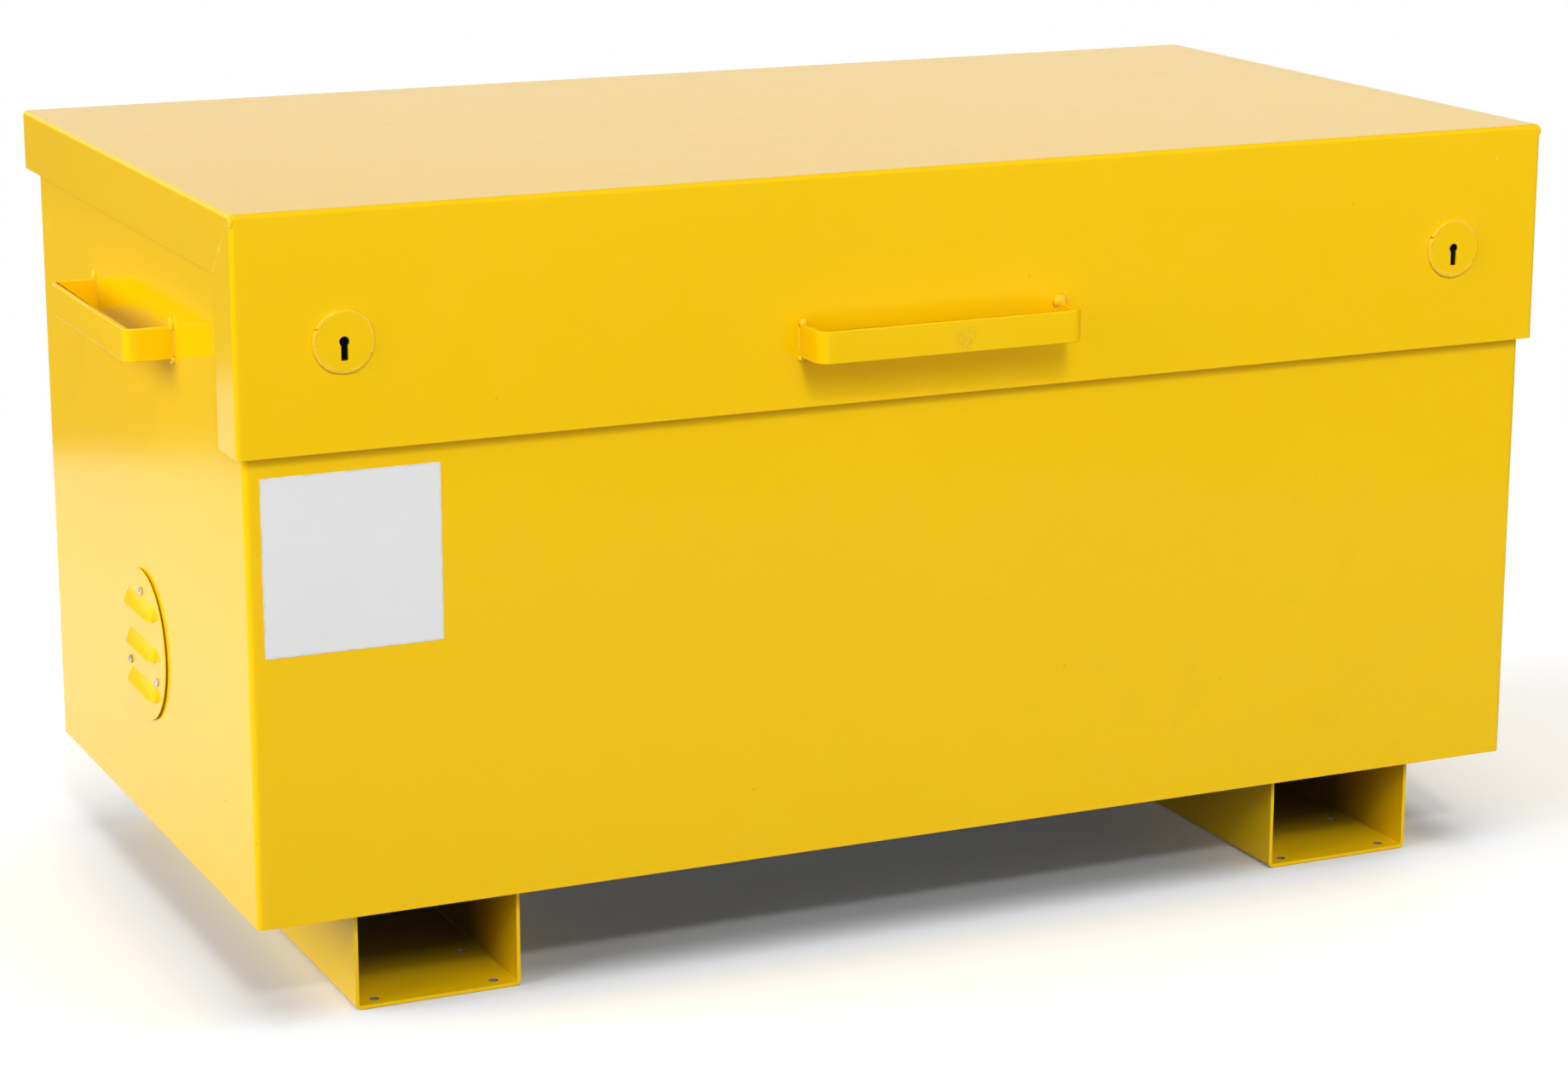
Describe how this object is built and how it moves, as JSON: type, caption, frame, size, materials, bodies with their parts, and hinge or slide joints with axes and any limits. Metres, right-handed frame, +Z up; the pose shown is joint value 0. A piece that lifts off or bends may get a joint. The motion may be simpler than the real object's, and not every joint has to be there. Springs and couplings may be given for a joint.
{
  "type": "chemical storage chest",
  "caption": "Top-opening steel storage chest with a deep hinged lid on gas struts, lever locks behind the lid's flap, bar handles, louvred end vents, a sump floor and fork skids.",
  "frame": {"origin": "centre of the whole footprint on the floor, with the handles counted in", "axes": "+X along the lid to the right as seen from the front, +Y from the front to the hinges, +Z up"},
  "size_m": [1.214, 0.654, 0.64],
  "materials": {
    "yellow_coat": "satin yellow powder coat on folded steel sheet",
    "zinc_plate": "bright zinc plate",
    "bare_steel": "turned steel",
    "chromed_rod": "polished chromed rod",
    "black_enamel": "black enamel",
    "gasket_rubber": "matt black rubber",
    "brass_bolt": "drawn brass"
  },
  "bodies": {
    "chest": {"body_band": "yellow_coat", "rear_panel": "yellow_coat", "sump_pan": "yellow_coat", "front_rim": "yellow_coat", "left_skid": "yellow_coat", "left_end_handle": "yellow_coat", "left_vent_plate": "yellow_coat", "left_vent_gasket": "gasket_rubber", "left_vent_screw_1": "zinc_plate", "left_vent_screw_2": "zinc_plate", "left_vent_screw_3": "zinc_plate", "left_lock_keep": "zinc_plate", "left_strut_body_bracket": "zinc_plate", "right_skid": "yellow_coat", "right_end_handle": "yellow_coat", "right_vent_plate": "yellow_coat", "right_vent_gasket": "gasket_rubber", "right_vent_screw_1": "zinc_plate", "right_vent_screw_2": "zinc_plate", "right_vent_screw_3": "zinc_plate", "right_lock_keep": "zinc_plate", "right_strut_body_bracket": "zinc_plate", "body_hinge_leaf_1": "yellow_coat", "hinge_pin_1": "bare_steel", "body_hinge_leaf_2": "yellow_coat", "hinge_pin_2": "bare_steel", "body_hinge_leaf_3": "yellow_coat", "hinge_pin_3": "bare_steel"},
    "lid": {"lid_shell": "yellow_coat", "lid_handle": "yellow_coat", "lid_stiffener_1": "yellow_coat", "lid_stiffener_2": "yellow_coat", "left_escutcheon": "yellow_coat", "left_lock_case": "black_enamel", "left_lock_box": "yellow_coat", "left_strut_lid_bracket": "zinc_plate", "right_escutcheon": "yellow_coat", "right_lock_case": "black_enamel", "right_lock_box": "yellow_coat", "right_strut_lid_bracket": "zinc_plate", "lid_hinge_leaf_1": "yellow_coat", "lid_hinge_leaf_2": "yellow_coat", "lid_hinge_leaf_3": "yellow_coat"},
    "left_bolt": {"left_lock_bolt": "brass_bolt"},
    "left_cylinder": {"left_strut_cylinder": "black_enamel"},
    "left_rod": {"left_strut_rod": "chromed_rod"},
    "right_bolt": {"right_lock_bolt": "brass_bolt"},
    "right_cylinder": {"right_strut_cylinder": "black_enamel"},
    "right_rod": {"right_strut_rod": "chromed_rod"}
  },
  "joints": [
    {"name": "lid_hinge", "type": "hinge", "parent": "chest", "child": "lid", "pos_m": [0, 0.3141, 0.59], "axis": [-1, 0, 0], "range_deg": [0, 80]},
    {"name": "left_bolt_slide", "type": "slide", "parent": "lid", "child": "left_bolt", "axis": [1, 0, 0], "range_m": [0, 0.018]},
    {"name": "left_strut_foot", "type": "hinge", "parent": "chest", "child": "left_cylinder", "pos_m": [-0.536, 0.23042, 0.37431], "axis": [-1, 0, 0], "range_deg": [0, 40]},
    {"name": "left_strut_head", "type": "hinge", "parent": "lid", "child": "left_rod", "pos_m": [-0.536, 0.0841, 0.615], "axis": [-1, 0, 0], "range_deg": [-40, 0]},
    {"name": "right_bolt_slide", "type": "slide", "parent": "lid", "child": "right_bolt", "axis": [-1, 0, 0], "range_m": [0, 0.018]},
    {"name": "right_strut_foot", "type": "hinge", "parent": "chest", "child": "right_cylinder", "pos_m": [0.536, 0.23042, 0.37431], "axis": [-1, 0, 0], "range_deg": [0, 40]},
    {"name": "right_strut_head", "type": "hinge", "parent": "lid", "child": "right_rod", "pos_m": [0.536, 0.0841, 0.615], "axis": [-1, 0, 0], "range_deg": [-40, 0]}
  ],
  "couplings": [
    {"joint": "left_strut_foot", "follows": "lid_hinge", "ratio": 0.5},
    {"joint": "left_strut_head", "follows": "lid_hinge", "ratio": -0.5},
    {"joint": "right_strut_foot", "follows": "lid_hinge", "ratio": 0.5},
    {"joint": "right_strut_head", "follows": "lid_hinge", "ratio": -0.5}
  ]
}
